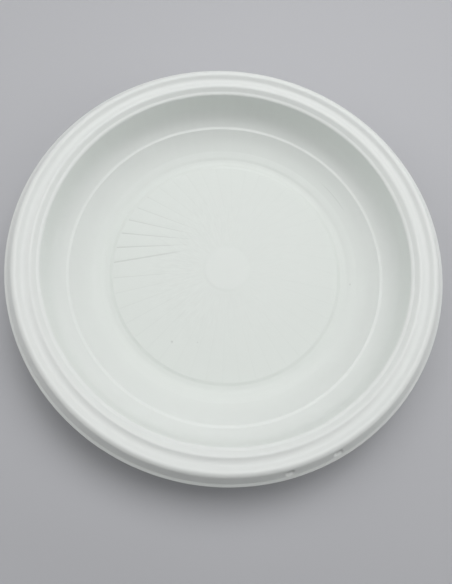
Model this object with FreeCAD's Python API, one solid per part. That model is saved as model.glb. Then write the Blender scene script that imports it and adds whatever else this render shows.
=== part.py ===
import FreeCAD, Part
import math
import os

# Deep round plate moulded in thin plastic, in millimetres. +Z is up, and the origin is the
# centre of the ring that the plate rests on. The upper face is drawn as half a section in
# the (radius, height) plane, thickened downwards by the wall and turned about the Z axis.

# Overall size
plateDiameter = 220.0
plateHeight = 31.0         # up to the top of the outer bead
wall = 0.5

# The bowl, each ring counted in from the one outside it
rimWidth = 16.9            # skirt's edge to mouth
upperRun = 8.0             # mouth to ledge
ledgeWidth = 1.4
ledgeRise = 0.25
lowerRun = 14.1            # ledge to foot channel
channelWidth = 7.1         # channel whose underside the plate rests on
channelRise = 0.86         # how far it curves up to the foot of the wall
curveInset = 3.0           # where it starts to, in from that foot
middleInset, middleRise = 1.5, 0.3
floorRise = 0.5            # floor above the foot channel
floorSlope = 1.6           # how far the step up to the floor runs in
ledgeHeight = 9.0
upperKnee = 0.175          # share of the upper wall's height where it turns steep
lowerKnee = 3.7            # height that the lower wall gains before it turns up
kneeShare = 0.664          # share of the lower wall's run where it does
wallLean = 2.0             # how far the upper wall leans out above its knee

# Hub in the middle of the floor
hubRadius = 12.5
hubSlope = 1.6
hubRise = 0.15

# Rim: insets count in from the skirt's edge, drops count down from the top
lipDrop = 3.9
innerGrooveInset, innerGrooveDrop = 15.3, 3.25
middleBeadInset, middleBeadDrop = 13.05, 1.25
hollowInset, hollowDrop = 10.9, 1.9
outerGrooveInset, outerGrooveDrop = 8.8, 1.55
outerBeadInset, outerBeadRise = 6.45, 0.172
shoulderInset, shoulderDrop = 4.6, 0.3
skirtDrop = 5.0
flareLength, flareAngle = 1.6, 35.0

# Fillets
hubFillet = 1.5
floorFillet = 1.6
curveFillet, middleFillet = 5.0, 3.5
footFillet = 6.0
ledgeInnerFillet, ledgeFillet = 0.9, 1.0
lipFillet = 1.4
innerGrooveFillet = 1.0
middleBeadFillet = 1.8
hollowFillet = 4.0
outerGrooveFillet = 3.0
outerBeadFillet = 2.0
shoulderFillet = 2.6
flareFillet = 1.5
wallSweep = 40.0           # the two curved walls, cut back to what their legs allow
legShare = 0.9             # most of a leg that one fillet may take

# Fine flutes that run in over the floor; those of the far half pass the axis on one side
fluteCount = 44
fluteStart = 1.9           # degrees from +X to the first one
fluteWidth = 0.8
fluteDepth = 0.05
deepFluteDepth = 0.2
deepFrom, deepTo = 155, 195
fluteInner = 24.0
fluteMargin = 0.4          # from the floor's edge
fluteAim = 16.0            # how far past the axis they run
farFrom, farTo = 10, 195

# Two lugs pressed inwards from the skirt, which keep stacked plates apart
lugAngles = (-63.7, -50.9)
lugStraight = 1.5
lugRadius = 2.2
lugDepth = 0.8
lugDrop = 2.6

# Sizes that follow
edgeRadius = plateDiameter / 2
mouthRadius = edgeRadius - rimWidth
ledgeRadius = mouthRadius - upperRun
footRadius = ledgeRadius - ledgeWidth - lowerRun
floorRadius = footRadius - channelWidth
channelHeight = wall
floorHeight = channelHeight + floorRise
hubHeight = floorHeight + hubRise
lipHeight = plateHeight - lipDrop
upperHeight = lipHeight - ledgeHeight
flareAcross = flareLength * math.cos(math.radians(flareAngle))
flareDown = flareLength * math.sin(math.radians(flareAngle))
roundBulge = wall / 2 * (1 - math.sin(math.radians(flareAngle)))
tipRadius = edgeRadius - roundBulge
tipHeight = plateHeight - skirtDrop
flareRadius = tipRadius - flareAcross
flareHeight = tipHeight + flareDown

# Corners of the upper face from the axis outwards: radius, height, fillet
corners = [
    (0, hubHeight, 0),
    (hubRadius - hubSlope / 2, hubHeight, hubFillet),
    (hubRadius + hubSlope / 2, floorHeight, hubFillet),
    (floorRadius, floorHeight, floorFillet),
    (floorRadius + floorSlope, channelHeight, floorFillet),
    (footRadius - curveInset, channelHeight, curveFillet),
    (footRadius - middleInset, channelHeight + middleRise, middleFillet),
    (footRadius, channelHeight + channelRise, footFillet),
    (footRadius + lowerRun * kneeShare, channelHeight + lowerKnee, wallSweep),
    (ledgeRadius - ledgeWidth, ledgeHeight - ledgeRise / 2, ledgeInnerFillet),
    (ledgeRadius, ledgeHeight + ledgeRise / 2, ledgeFillet),
    (mouthRadius - wallLean, ledgeHeight + upperHeight * upperKnee, wallSweep),
    (mouthRadius, lipHeight, lipFillet),
    (edgeRadius - innerGrooveInset, plateHeight - innerGrooveDrop, innerGrooveFillet),
    (edgeRadius - middleBeadInset, plateHeight - middleBeadDrop, middleBeadFillet),
    (edgeRadius - hollowInset, plateHeight - hollowDrop, hollowFillet),
    (edgeRadius - outerGrooveInset, plateHeight - outerGrooveDrop, outerGrooveFillet),
    (edgeRadius - outerBeadInset, plateHeight + outerBeadRise, outerBeadFillet),
    (edgeRadius - shoulderInset, plateHeight - shoulderDrop, shoulderFillet),
    (flareRadius, flareHeight, flareFillet),
    (tipRadius, tipHeight, 0),
]


def point(radius, height):
    return FreeCAD.Vector(radius, 0, height)


# Straight lines between the corners, each corner rounded by a tangent arc
def roundedPath(places):
    edges = []
    last = point(*places[0][:2])
    for before, place, after in zip(places, places[1:], places[2:]):
        corner = point(*place[:2])
        back = point(*before[:2]) - corner
        ahead = point(*after[:2]) - corner
        half = back.getAngle(ahead) / 2
        shorterLeg = min(back.Length, ahead.Length)
        fillet = min(place[2], legShare * shorterLeg * math.tan(half))
        back.normalize()
        ahead.normalize()
        inward = back + ahead
        inward.normalize()
        arcStart = corner + back * (fillet / math.tan(half))
        arcEnd = corner + ahead * (fillet / math.tan(half))
        arcMiddle = corner + inward * (fillet / math.sin(half) - fillet)
        edges.append(Part.makeLine(last, arcStart))
        edges.append(Part.Arc(arcStart, arcMiddle, arcEnd).toShape())
        last = arcEnd
    edges.append(Part.makeLine(last, point(*places[-1][:2])))
    return Part.Wire(edges)


# A flat outline in the section plane turned about the Z axis
def turned(edges):
    outline = Part.Wire(Part.sortEdges(edges)[0])
    return Part.Face(outline).revolve(FreeCAD.Vector(), FreeCAD.Vector(0, 0, 1), 360)


# A straight V cut that starts deep at the floor's edge and runs out on its way in
def flute(angle):
    outer = floorRadius - fluteMargin
    aim = fluteAim if farFrom < angle % 360 < farTo else 0
    depth = deepFluteDepth if deepFrom < angle % 360 < deepTo else fluteDepth
    turn = math.radians(angle)
    start = FreeCAD.Vector(outer * math.cos(turn), outer * math.sin(turn), 0)
    way = FreeCAD.Vector(0, aim, 0) - start
    way.normalize()
    nearest = -start.dot(way)
    aside = (start + way * nearest).Length
    length = nearest - math.sqrt(fluteInner * fluteInner - aside * aside)
    across = FreeCAD.Vector(-way.y, way.x, 0) * fluteWidth
    up = FreeCAD.Vector(0, 0, floorHeight + depth)
    end = start + way * length
    places = [start + across + up, start - across + up, start + FreeCAD.Vector(0, 0, floorHeight - depth)]
    places += [end + FreeCAD.Vector(0, 0, floorHeight), end + up]
    faces = [(0, 1, 2), (0, 2, 3), (2, 1, 3), (0, 3, 4), (1, 4, 3), (0, 4, 1)]
    solid = Part.Solid(Part.Shell([triangle(*[places[index] for index in face]) for face in faces]))
    return solid


def triangle(first, second, third):
    return Part.Face(Part.makePolygon([first, second, third, first]))


# A round-ended bar laid along the outside of the skirt, sunk into it by the lug's depth
def lugBar(angle, radius):
    height = plateHeight - lugDrop
    shoulder, flare = corners[-3], corners[-2]
    skirtSlope = math.atan2(shoulder[1] - flare[1], flare[0] - shoulder[0])
    reach = flare[0] - (height - flare[1]) / math.tan(skirtSlope)
    reach += (lugRadius - lugDepth) * math.sin(skirtSlope)
    height += (lugRadius - lugDepth) * math.cos(skirtSlope)
    start = FreeCAD.Vector(reach, -lugStraight / 2, height)
    end = FreeCAD.Vector(reach, lugStraight / 2, height)
    bar = Part.makeCylinder(radius, lugStraight, start, end - start)
    ends = [Part.makeSphere(radius, start), Part.makeSphere(radius, end)]
    solid = bar.fuse(ends).removeSplitter()
    solid.rotate(FreeCAD.Vector(), FreeCAD.Vector(0, 0, 1), angle)
    return solid


# Upper and lower face of the wall, and the two ends that close them
upper = roundedPath(corners)
lower = upper.makeOffset2D(-wall, 0, False, True)
upperTip = point(tipRadius, tipHeight)
lowerTip = max((vertex.Point for vertex in lower.Vertexes), key=lambda place: place.x)
tipMiddle = (upperTip + lowerTip) / 2
tipOut = FreeCAD.Vector(flareAcross, 0, -flareDown).normalize() * (wall / 2)
roundEdge = Part.Arc(upperTip, tipMiddle + tipOut, lowerTip).toShape()
axisTop = point(0, hubHeight)
axisBottom = point(0, hubHeight - wall)
axisLine = Part.makeLine(axisTop, axisBottom)
plate = turned(upper.Edges + lower.Edges + [roundEdge, axisLine])

# The lugs keep the wall's thickness, so each bulges into the hollow under the plate
under = [axisBottom, point(0, -wall), point(lowerTip.x, -wall), lowerTip]
underLines = [Part.makeLine(start, end) for start, end in zip(under, under[1:])]
hollow = turned(lower.Edges + underLines)
bulges = [lugBar(angle, lugRadius + wall).common(hollow) for angle in lugAngles]
dents = [lugBar(angle, lugRadius) for angle in lugAngles]
flutes = [flute(fluteStart + 360 / fluteCount * index) for index in range(fluteCount)]
plate = plate.cut(flutes).fuse(bulges).cut(dents)

os.makedirs("parts", exist_ok=True)
plate.exportStep("parts/plate.step")
box = plate.optimalBoundingBox()
print("plate", plate.isValid(), len(plate.Solids), "solid,", round(plate.Volume), "mm3")
print("box", [round(side, 3) for side in (box.XMin, box.YMin, box.ZMin, box.XMax, box.YMax, box.ZMax)])
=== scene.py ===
import math
import random

import bpy
from mathutils import Matrix, Vector


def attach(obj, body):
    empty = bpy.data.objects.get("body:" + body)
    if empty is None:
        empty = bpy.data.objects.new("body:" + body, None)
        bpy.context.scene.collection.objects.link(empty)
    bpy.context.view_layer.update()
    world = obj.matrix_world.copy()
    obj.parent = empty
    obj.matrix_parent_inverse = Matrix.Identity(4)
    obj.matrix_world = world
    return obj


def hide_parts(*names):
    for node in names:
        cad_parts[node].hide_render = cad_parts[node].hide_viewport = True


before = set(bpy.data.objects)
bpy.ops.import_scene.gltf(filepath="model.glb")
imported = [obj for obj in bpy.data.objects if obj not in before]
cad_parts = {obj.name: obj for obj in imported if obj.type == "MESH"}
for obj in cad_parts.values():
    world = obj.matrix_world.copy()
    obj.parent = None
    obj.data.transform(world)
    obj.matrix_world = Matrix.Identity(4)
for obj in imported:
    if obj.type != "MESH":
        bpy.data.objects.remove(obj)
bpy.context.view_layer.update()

mm = 0.001


class Signal:
    # one output of a node; arithmetic on it adds Math nodes

    def __init__(self, sheet, socket):
        self.sheet = sheet
        self.socket = socket

    def maths(self, operation, *values):
        return self.sheet.node("Math", {"operation": operation}, dict(enumerate(values)))

    def __add__(self, other):
        return self.maths("ADD", self, other)

    def __radd__(self, other):
        return self.maths("ADD", other, self)

    def __sub__(self, other):
        return self.maths("SUBTRACT", self, other)

    def __rsub__(self, other):
        return self.maths("SUBTRACT", other, self)

    def __mul__(self, other):
        return self.maths("MULTIPLY", self, other)

    def __rmul__(self, other):
        return self.maths("MULTIPLY", other, self)

    def between(self, low, high):
        # 0 under low, 1 over high, smooth between
        inputs = {"Value": self, "From Min": low, "From Max": high}
        return self.sheet.node("MapRange", {"interpolation_type": "SMOOTHSTEP"}, inputs)

    def out(self, name):
        return Signal(self.sheet, self.socket.node.outputs[name])


class Sheet:
    # the node tree of one material, or of the world

    def __init__(self, owner):
        owner.use_nodes = True
        self.tree = owner.node_tree
        self.tree.nodes.clear()

    def node(self, kind, settings=None, inputs=None):
        made = self.tree.nodes.new("ShaderNode" + kind)
        for name, value in (settings or {}).items():
            setattr(made, name, value)
        for name, value in (inputs or {}).items():
            if isinstance(value, Signal):
                self.tree.links.new(value.socket, made.inputs[name])
            else:
                made.inputs[name].default_value = value
        shown = [socket for socket in made.outputs if socket.enabled]
        return Signal(self, shown[0]) if shown else made

    def mix(self, share, first, second):
        return self.node("Mix", {"data_type": "RGBA"}, {0: share, 6: first, 7: second})

    def vector(self, operation, *values):
        return self.node("VectorMath", {"operation": operation}, dict(enumerate(values)))


shot = {
    "place": (0.0, -84.8, 247.3),     # mm from the middle of the foot
    "turn": (1.93, 73.78, 14.62),     # degrees: right of +Y, down, roll
    "lens": 28.86,
}


def wayTo(azimuth, height):
    # a direction this far round from +X and this far up
    across = math.cos(height)
    return Vector((math.cos(azimuth) * across, math.sin(azimuth) * across, math.sin(height)))


def makeCamera():
    yaw, pitch, roll = [math.radians(angle) for angle in shot["turn"]]
    ahead = wayTo(math.pi / 2 - yaw, -pitch)
    level = Vector((math.cos(yaw), -math.sin(yaw), 0))
    upright = level.cross(ahead)
    right = level * math.cos(roll) + upright * math.sin(roll)
    up = upright * math.cos(roll) - level * math.sin(roll)
    data = bpy.data.cameras.new("camera")
    data.lens = shot["lens"]
    data.clip_start = 0.01
    camera = bpy.data.objects.new("camera", data)
    turned = Matrix((right, up, -ahead)).transposed().to_4x4()
    camera.matrix_world = Matrix.Translation(Vector(shot["place"]) * mm) @ turned
    bpy.context.collection.objects.link(camera)
    bpy.context.scene.camera = camera


lamps = {
    # name: (degrees round from +X, degrees up, strength W)
    "high far right": (60, 65, 1.96),
    "high far left": (120, 65, 1.42),
    "right": (0, 42, 0.86),
    "low right": (0, 12, 0.37),
    "left": (180, 42, 0.86),
    "low left": (180, 12, 0.42),
    "far": (90, 12, 0.5),
    "near left": (225, 42, 0.5),
    "far right": (45, 12, 0.57),
    "near right": (315, 42, 0.12),
}
lampDistance = 0.75     # m from the middle of the foot
lampSize = 0.52         # m across


def makeLamps():
    for name, (azimuth, height, strength) in lamps.items():
        way = wayTo(math.radians(azimuth), math.radians(height))
        data = bpy.data.lights.new(name, "AREA")
        data.shape = "DISK"
        data.size = lampSize
        data.energy = strength
        lamp = bpy.data.objects.new(name, data)
        lamp.location = way * lampDistance
        lamp.rotation_mode = "QUATERNION"
        lamp.rotation_quaternion = way.to_track_quat("Z", "Y")
        bpy.context.collection.objects.link(lamp)


# seen by the camera only, so that it adds no light
backdrop = {
    "colour": (0.45, 0.453, 0.475, 1),
    "fade": (0.15, 0.55),     # m from the axis, where the table turns into it
}


def makeWorld():
    world = bpy.data.worlds.new("room")
    sheet = Sheet(world)
    seen = sheet.node("LightPath").out("Is Camera Ray")
    glow = sheet.node("Background", None, {"Color": backdrop["colour"], "Strength": seen})
    sheet.node("OutputWorld", None, {"Surface": glow})
    bpy.context.scene.world = world


# millimetres, the same sizes as the solid
plateShape = {
    "diameter": 220.0,
    "height": 31.0,
    "wall": 0.5,
    "rimWidth": 16.9,        # skirt's edge to mouth
    "lipDrop": 3.9,          # top to mouth
    "upperRun": 8.0,         # mouth to ledge
    "upperKnee": 0.175,      # share of the upper wall's height where it turns steep
    "wallLean": 2.0,         # how far it leans out above that
    "ledgeWidth": 1.4,
    "ledgeRise": 0.25,
    "ledgeHeight": 9.0,
    "lowerRun": 14.1,        # ledge to foot channel
    "lowerKnee": 3.7,        # height that the lower wall gains before it turns up
    "kneeShare": 0.664,      # share of its run where it does
    "channelWidth": 7.1,     # channel whose underside the plate rests on
    "channelRise": 0.86,     # how far it curves up to the foot of the wall
    "curveInset": 3.0,       # where it starts to, in from that foot
    "middleInset": 1.5,
    "middleRise": 0.3,
    "floorRise": 0.5,        # floor above the channel
    "floorSlope": 1.6,
    "hubRadius": 12.5,
    "hubSlope": 1.6,
    "hubRise": 0.15,
    "skirtDrop": 5.0,
    "flareLength": 1.6,
    "flareAngle": 35.0,
    "rim": {                 # in from the skirt's edge, down from the top, fillet
        "inner groove": (15.3, 3.25, 1.0),
        "middle bead": (13.05, 1.25, 1.8),
        "hollow": (10.9, 1.9, 4.0),
        "outer groove": (8.8, 1.55, 3.0),
        "outer bead": (6.45, -0.172, 2.0),
        "shoulder": (4.6, 0.3, 2.6),
    },
    "fillets": {
        "hub": 1.5,
        "floor": 1.6,
        "curve": 5.0,
        "middle": 3.5,
        "foot": 6.0,
        "wall": 40.0,
        "ledgeInner": 0.9,
        "ledge": 1.0,
        "lip": 1.4,
        "flare": 1.5,
    },
    "legShare": 0.9,         # most of a leg that one fillet may take
}

# how fine the mesh is
meshRows = {
    "arcStep": 11,           # degrees, the most between two rows on a fillet
    "leg": [                 # up to this length in mm: where its rows stand
        (0.6, []),
        (3.2, [0.2, 0.8]),
        (12, [0.1, 0.37, 0.63, 0.9]),
    ],
    "longLeg": 4,            # mm apart on a longer leg
    "longLegEnd": 0.01,
    "skirt": 9,
    "skirtLeg": 2,           # mm, the shortest leg that gets those rows
    "skirtZone": 5.5,        # mm in from the edge
    "flare": (0.25, 0.5, 0.75, 1),
    "edge": 6,
}

flutes = {
    "count": 44,
    "start": 1.9,            # degrees
    "outer": 62.1,           # radius where they start
    "inner": 24.0,           # radius where they have run out
    "width": 0.8,
    "depth": 0.2,
    "section": [             # half widths aside, share of the depth
        (-1.3, 0), (-0.5, 0.55), (0, 1), (0.5, 0.55), (1.3, 0),
    ],
    "fade": 12.0,            # how far out the painted shade line takes to appear
    "aim": 16.0,             # how far past the axis the flutes of the far half run
    "farHalf": (10, 195),    # degrees from and to
    "seed": 4,
    "unevenness": (0.75, 1.0),
    "strength": [            # by degrees, for the depth and the painted shade: crisp on the left and all but gone on the far right
        (0, 0.12), (55, 0.12), (110, 0.16), (148, 0.2), (158, 0.7), (168, 1),
        (190, 1), (200, 0.3), (260, 0.12), (310, 0.14), (360, 0.12),
    ],
}

# two small dents pressed into the skirt, which keep stacked plates apart
lugs = {
    "angles": (-63.7, -50.9),
    "straight": 1.5,
    "radius": 2.2,
    "depth": 0.8,
    "drop": 2.6,
    "columns": 6,            # each side of the middle
    "spacing": 0.45,
    "closest": 0.002,        # radians from any other column
    "clearance": 0.3,        # from the skirt's edge
    "facing": 0.3,           # least outward part of the face's normal
}


def upperCorners(shape):
    # corners of the upper face from the axis outwards: radius, height, fillet
    fillets = shape["fillets"]
    edge = shape["diameter"] / 2
    top = shape["height"]
    mouth = edge - shape["rimWidth"]
    ledge = mouth - shape["upperRun"]
    foot = ledge - shape["ledgeWidth"] - shape["lowerRun"]
    floor = foot - shape["channelWidth"]
    channel = shape["wall"]
    floorTop = channel + shape["floorRise"]
    hubTop = floorTop + shape["hubRise"]
    hub, halfHubSlope = shape["hubRadius"], shape["hubSlope"] / 2
    knee = foot + shape["lowerRun"] * shape["kneeShare"]
    ledgeTop, halfLedgeRise = shape["ledgeHeight"], shape["ledgeRise"] / 2
    lip = top - shape["lipDrop"]
    upperKnee = ledgeTop + (lip - ledgeTop) * shape["upperKnee"]
    slope = math.radians(shape["flareAngle"])
    tip = edge - shape["wall"] / 2 * (1 - math.sin(slope))
    tipHeight = top - shape["skirtDrop"]
    flare = tip - shape["flareLength"] * math.cos(slope)
    flareHeight = tipHeight + shape["flareLength"] * math.sin(slope)
    bowl = [
        (0, hubTop, 0),
        (hub - halfHubSlope, hubTop, fillets["hub"]),
        (hub + halfHubSlope, floorTop, fillets["hub"]),
        (floor, floorTop, fillets["floor"]),
        (floor + shape["floorSlope"], channel, fillets["floor"]),
        (foot - shape["curveInset"], channel, fillets["curve"]),
        (foot - shape["middleInset"], channel + shape["middleRise"], fillets["middle"]),
        (foot, channel + shape["channelRise"], fillets["foot"]),
        (knee, channel + shape["lowerKnee"], fillets["wall"]),
        (ledge - shape["ledgeWidth"], ledgeTop - halfLedgeRise, fillets["ledgeInner"]),
        (ledge, ledgeTop + halfLedgeRise, fillets["ledge"]),
        (mouth - shape["wallLean"], upperKnee, fillets["wall"]),
        (mouth, lip, fillets["lip"]),
    ]
    rim = [(edge - inset, top - drop, fillet) for inset, drop, fillet in shape["rim"].values()]
    return bowl + rim + [(flare, flareHeight, fillets["flare"]), (tip, tipHeight, 0)]


def roundedPath(corners):
    # points along straight legs joined by tangent arcs, each with the upper face's normal
    points = []

    def add(place, normal):
        points.append((Vector(place), Vector(normal)))

    skirtStart = plateShape["diameter"] / 2 - meshRows["skirtZone"]
    last = Vector(corners[0][:2])
    for before, here, after in zip(corners, corners[1:], corners[2:]):
        corner = Vector(here[:2])
        back = Vector(before[:2]) - corner
        ahead = Vector(after[:2]) - corner
        half = back.angle(ahead) / 2
        shorter = min(back.length, ahead.length)
        fillet = min(here[2], plateShape["legShare"] * shorter * math.tan(half))
        back.normalize()
        ahead.normalize()
        inward = (back + ahead).normalized()
        start = corner + back * (fillet / math.tan(half))
        end = corner + ahead * (fillet / math.tan(half))
        centre = corner + inward * (fillet / math.sin(half))
        legNormal = Vector((back.y, -back.x))
        for share in legStops((start - last).length, last.x > skirtStart):
            add(last.lerp(start, share), legNormal)
        turn = math.pi - 2 * half
        side = 1 if legNormal.dot(inward) > 0 else -1
        steps = max(2, math.ceil(math.degrees(turn) / meshRows["arcStep"]))
        first, final = (start - centre).normalized(), (end - centre).normalized()
        for step in range(steps + 1):
            way = first.slerp(final, step / steps)
            add(centre + way * fillet, -side * way)
        last = end
    tip = Vector(corners[-1][:2])
    leg = (tip - last).normalized()
    for share in meshRows["flare"]:
        add(last.lerp(tip, share), (-leg.y, leg.x))
    return points


def legStops(length, isSkirt):
    # where the rows of a straight leg stand: none if it is short, otherwise near its ends
    if isSkirt and length > meshRows["skirtLeg"]:
        return [row / meshRows["skirt"] for row in range(1, meshRows["skirt"])]
    for longest, stops in meshRows["leg"]:
        if length < longest:
            return stops
    rows = math.ceil(length / meshRows["longLeg"])
    end = meshRows["longLegEnd"]
    return [end] + [row / rows for row in range(1, rows)] + [1 - end]


def turnAt(azimuth, radius):
    # how far a flute that starts at this azimuth has turned round the axis at this radius
    low, high = flutes["farHalf"]
    if not low < math.degrees(azimuth) % 360 < high:
        return 0
    start = Vector((math.cos(azimuth), math.sin(azimuth))) * flutes["outer"]
    way = (Vector((0, flutes["aim"])) - start).normalized()
    nearest = -start.dot(way)
    aside = (start + way * nearest).length
    reach = min(max(radius, flutes["inner"]), flutes["outer"])
    place = start + way * (nearest - math.sqrt(reach * reach - aside * aside))
    return wrapped(math.atan2(place.y, place.x) - azimuth)


def fluteStrength(degrees):
    for (low, first), (high, second) in zip(flutes["strength"], flutes["strength"][1:]):
        if low <= degrees <= high:
            return first + (second - first) * (degrees - low) / (high - low)


def wrapped(angle):
    # the same angle between minus and plus half a turn
    return (angle + math.pi) % (2 * math.pi) - math.pi


def makeColumns():
    # angle, share of the flute's depth and the flute's number, for each column of the mesh;
    # they crowd at each flute, so that its two slopes are cut cleanly, and at each lug
    first = math.radians(flutes["start"])
    pitch = 2 * math.pi / flutes["count"]
    halfWidth = flutes["width"] / 2 / flutes["outer"]
    reach = flutes["section"][-1][0] * halfWidth
    columns = []
    for index in range(flutes["count"]):
        middle = first + index * pitch
        for offset, dip in flutes["section"]:
            columns.append((middle + offset * halfWidth, dip, index))
        gap = pitch - 2 * reach
        for step in (1, 2):
            columns.append((middle + reach + gap * step / 3, 0, index))
    taken = [angle for angle, dip, index in columns]
    edge = plateShape["diameter"] / 2
    for degrees in lugs["angles"]:
        for step in range(-lugs["columns"], lugs["columns"] + 1):
            angle = (math.radians(degrees) + step * lugs["spacing"] / edge) % (2 * math.pi)
            if min(abs(angle - other) for other in taken) > lugs["closest"]:
                columns.append((angle, 0, int((angle - first) / pitch)))
    return sorted(columns)


def lugDent(angle, place, normal, thicker):
    # how deep a round-ended bar is pressed into the skirt here
    top, edge = plateShape["height"], plateShape["diameter"] / 2
    lowest = top - plateShape["skirtDrop"] + lugs["clearance"]
    isFlat = place.x < edge - meshRows["skirtZone"] or normal.x < lugs["facing"]
    if isFlat or place.y < lowest:
        return 0
    high, low = [Vector(corner[:2]) for corner in upperCorners(plateShape)[-3:-1]]
    middle = high.lerp(low, (top - lugs["drop"] - high.y) / (low.y - high.y)) - normal * thicker
    bar = lugs["radius"] + thicker
    dent = 0
    for degrees in lugs["angles"]:
        apart = wrapped(angle - math.radians(degrees))
        along = max(0, abs(apart) * place.x - lugs["straight"] / 2)
        away = math.hypot(along, (place - middle).length)
        if away < bar:
            dent = max(dent, math.sqrt(bar * bar - away * away) - bar + lugs["depth"])
    return dent


def gridFaces(rows, columns):
    # rings of points joined by four-sided faces, and a fan at each end
    faces = []
    topMiddle, underMiddle = rows * columns, rows * columns + 1
    lastRow = (rows - 1) * columns
    for row in range(rows - 1):
        for column in range(columns):
            following = (column + 1) % columns
            a, b = row * columns + column, row * columns + following
            faces.append((a, a + columns, b + columns, b))
    for column in range(columns):
        following = (column + 1) % columns
        faces.append((topMiddle, column, following))
        faces.append((underMiddle, lastRow + following, lastRow + column))
    return faces


def makePlate():
    upper = roundedPath(upperCorners(plateShape))
    wall = plateShape["wall"]
    columns = makeColumns()
    count = flutes["count"]
    first, pitch = math.radians(flutes["start"]), 2 * math.pi / count
    starts = [first + index * pitch for index in range(count)]
    luck = random.Random(flutes["seed"])
    strength = [fluteStrength(math.degrees(start) % 360) * luck.uniform(*flutes["unevenness"])
                for start in starts]
    run = flutes["outer"] - flutes["inner"]
    marks = []

    def ring(place, normal, isUpper):
        radius, height = place
        turns = [turnAt(start, radius) for start in starts]
        points = []
        for angle, share, index in columns:
            part = (angle - first - index * pitch) / pitch
            turned = turns[index] * (1 - part) + turns[(index + 1) % count] * part
            around = angle + (turned if radius < flutes["outer"] else 0)
            dip = dark = 0
            if isUpper and flutes["inner"] < radius <= flutes["outer"]:
                reach = radius - flutes["inner"]
                dip = flutes["depth"] * share * strength[index] * reach / run
                # painted shade in the flute: the plastic mixes its colour towards the shade by this
                dark = share * strength[index] * min(1, reach / flutes["fade"])
            if isUpper:
                marks.append(dark)
            dent = lugDent(angle, place, normal, 0 if isUpper else wall)
            out = radius - normal.x * dent
            up = height - dip - normal.y * dent
            points.append(Vector((out * math.cos(around), out * math.sin(around), up)) * mm)
        return points

    # the upper face outwards, round the skirt's edge, and the lower face back in
    rings = [ring(place, normal, True) for place, normal in upper[1:]]
    tipPlace, tipNormal = upper[-1]
    tip = tipPlace - tipNormal * wall / 2
    leg = Vector((tipNormal.y, -tipNormal.x))
    for step in range(1, meshRows["edge"]):
        turn = math.pi * step / meshRows["edge"]
        way = tipNormal * math.cos(turn) + leg * math.sin(turn)
        rings.append(ring(tip + way * wall / 2, way, False))
    under = [(place - normal * wall, normal) for place, normal in upper]
    rings += [ring(place, normal, False) for place, normal in reversed(under[1:])]

    vertices = [point for points in rings for point in points]
    vertices += [Vector((0, 0, face[0][0].y)) * mm for face in (upper, under)]
    faces = gridFaces(len(rings), len(columns))
    mesh = bpy.data.meshes.new("plateShell")
    mesh.from_pydata(vertices, [], faces)
    mesh.shade_smooth()
    # the painted shade of the flutes, one value per point
    shades = mesh.attributes.new("flute", "FLOAT", "POINT")
    shades.data.foreach_set("value", marks + [0] * (len(vertices) - len(marks)))
    plate = bpy.data.objects.new("plateShell", mesh)
    bpy.context.collection.objects.link(plate)
    weighted = plate.modifiers.new("weighted normals", "WEIGHTED_NORMAL")
    weighted.weight = 60
    print("plate shell:", len(faces), "faces,", len(columns), "columns,", len(rings), "rings")
    return plate


plasticLook = {
    "colour": (0.87, 0.903, 0.877, 1),
    "floorColour": (0.857, 0.913, 0.866, 1),
    "floorEnd": (60, 95),             # mm from the axis, where it turns into the colour above
    "hubColour": (0.895, 0.952, 0.904, 1),
    "hubEnd": (10.8, 13.8),
    "hubShare": 0.3,
    "shade": (0.57, 0.61, 0.575, 1),  # painted shade in the flutes; the colour of flow marks and scratch
    "shadeShare": 0.06,               # everywhere
    # how much painted shade darkens the flutes
    "fluteShadeShare": 0.6,
    "scratchShare": 0.25,
    "scratch": (77.0, 0.35, (38, 58)),  # mm from the axis, mm wide, degrees from and to
    "speckColour": (0.19, 0.2, 0.18, 1),
    "specks": [                       # mm: across, away, radius; then how dark
        (-19.7, -46.4, 0.6, 0.2),
        (69.3, 7.0, 0.5, 0.16),
        (-6.5, -43.8, 0.4, 0.14),
        (-53.0, 31.5, 0.4, 0.07),
    ],
    "speckEdge": (0.3, 1.6),          # shares of a speck's radius
    "roughness": 0.44,
    "grainRoughness": 0.06,
    "grainScale": 900,
    "bump": (0.25, 4),                # of the grain and of the flow marks
    "flow": {
        "begin": (11, 16),            # mm from the axis
        "end": (26, 56),
        "fade": (-25, 15),            # mm across, fainter towards the right
        "faintness": 0.65,
        "strength": 0.35,
        "around": (17, 17, 17),       # how fine the marks are round the axis
        "outwards": 110,              # and along their run, per metre
        "scale": 1.6,
    },
}


def inMetres(sizes):
    return [size * mm for size in sizes]


def makeFlow(sheet, radius, around, across):
    # flow marks that radiate from the hub
    look = plasticLook["flow"]
    outwards = sheet.node("CombineXYZ", None, {"Z": look["outwards"] * radius})
    ray = sheet.vector("ADD", sheet.vector("MULTIPLY", around, look["around"]), outwards)
    streak = sheet.node("TexNoise", None, {"Vector": ray, "Scale": look["scale"], "Detail": 2})
    begin, end, fade = [inMetres(look[name]) for name in ("begin", "end", "fade")]
    nearHub = radius.between(*begin) * (1 - radius.between(*end))
    leftWays = 1 - look["faintness"] * across.between(*fade)
    return look["strength"] * nearHub * leftWays * (streak - 0.5)


def makeScratch(sheet, radius, around):
    # a hairline scratch that follows the lower wall
    away, wide, (begin, end) = plasticLook["scratch"]
    middle, half = math.radians((begin + end) / 2), math.radians((end - begin) / 2)
    aim = (math.cos(middle), math.sin(middle), 0)
    towards = sheet.vector("DOT_PRODUCT", around, aim).out("Value")
    offset = radius - away * mm
    return (1 - (offset * offset).between(0, (wide * mm) ** 2)) * towards.between(math.cos(half), 1)


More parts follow.
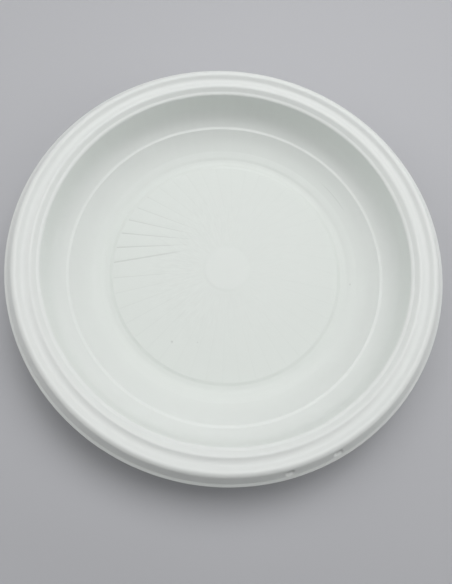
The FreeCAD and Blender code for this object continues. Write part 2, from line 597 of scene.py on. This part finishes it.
def makePlastic():
    look = plasticLook
    plastic = bpy.data.materials.new("white moulded plastic")
    sheet = Sheet(plastic)
    place = sheet.node("TexCoord").out("Object")
    level = sheet.vector("MULTIPLY", place, (1, 1, 0))
    radius = sheet.vector("LENGTH", level).out("Value")
    around = sheet.vector("NORMALIZE", level)
    across = sheet.node("SeparateXYZ", None, {0: level})
    flow = makeFlow(sheet, radius, around, across)

    pastFloor = radius.between(*inMetres(look["floorEnd"]))
    colour = sheet.mix(pastFloor, look["floorColour"], look["colour"])
    colour = sheet.mix(look["shadeShare"] + flow, colour, look["shade"])
    onHub = 1 - radius.between(*inMetres(look["hubEnd"]))
    colour = sheet.mix(look["hubShare"] * onHub, colour, look["hubColour"])
    # painted shade along the flute grooves, stronger on the left
    groove = sheet.node("Attribute", {"attribute_name": "flute"}).out("Fac")
    colour = sheet.mix(look["fluteShadeShare"] * groove, colour, look["shade"])
    inner, outer = look["speckEdge"]
    for x, y, size, depth in look["specks"]:
        apart = sheet.vector("DISTANCE", level, (x * mm, y * mm, 0)).out("Value")
        speck = 1 - apart.between(size * inner * mm, size * outer * mm)
        colour = sheet.mix(depth * speck, colour, look["speckColour"])
    scratch = makeScratch(sheet, radius, around)
    colour = sheet.mix(look["scratchShare"] * scratch, colour, look["shade"])

    fine = {"Vector": place, "Scale": look["grainScale"], "Detail": 2}
    grain = sheet.node("TexNoise", None, fine)
    roughness = look["roughness"] + look["grainRoughness"] * (grain - 0.5)
    grainHeight, flowHeight = look["bump"]
    height = grainHeight * grain + flowHeight * flow
    bump = sheet.node("Bump", None, {"Height": height, "Strength": 0.1, "Distance": 0.0002})
    surface = sheet.node("BsdfPrincipled", None, {
        "Base Color": colour,
        "Roughness": roughness,
        "Normal": bump,
        "IOR": 1.49,
        "Subsurface Weight": 0.6,
        "Subsurface Radius": (0.001, 0.001, 0.001),
        "Subsurface Scale": 1.0,
    })
    sheet.node("OutputMaterial", None, {"Surface": surface})
    return plastic


floorLook = {
    "colour": (0.54, 0.545, 0.57, 1),
    "roughness": 0.7,
    "size": 30.0,             # m
    "under": 0.1,             # mm below the foot
}


def makeFloor():
    # a pale table that turns into the backdrop further out
    paint = bpy.data.materials.new("pale table")
    sheet = Sheet(paint)
    away = sheet.vector("LENGTH", sheet.node("TexCoord").out("Object")).out("Value")
    share = away.between(*backdrop["fade"]) * sheet.node("LightPath").out("Is Camera Ray")
    finish = {"Base Color": floorLook["colour"], "Roughness": floorLook["roughness"]}
    lit = sheet.node("BsdfPrincipled", None, finish)
    glow = sheet.node("Emission", None, {"Color": backdrop["colour"], "Strength": 1})
    surface = sheet.node("MixShader", None, {0: share, 1: lit, 2: glow})
    sheet.node("OutputMaterial", None, {"Surface": surface})
    half = floorLook["size"] / 2
    low = -floorLook["under"] * mm
    mesh = bpy.data.meshes.new("table")
    corners = [(-half, -half, low), (half, -half, low), (half, half, low), (-half, half, low)]
    mesh.from_pydata(corners, [], [(0, 1, 2, 3)])
    mesh.materials.append(paint)
    table = bpy.data.objects.new("table", mesh)
    bpy.context.collection.objects.link(table)


print("camera and lamps")
makeCamera()
makeLamps()
print("room and table")
makeWorld()
makeFloor()
print("plate")
plate = makePlate()
print("plastic")
plate.data.materials.append(makePlastic())
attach(plate, "root")
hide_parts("plate")

bpy.context.scene.view_settings.view_transform = "Standard"
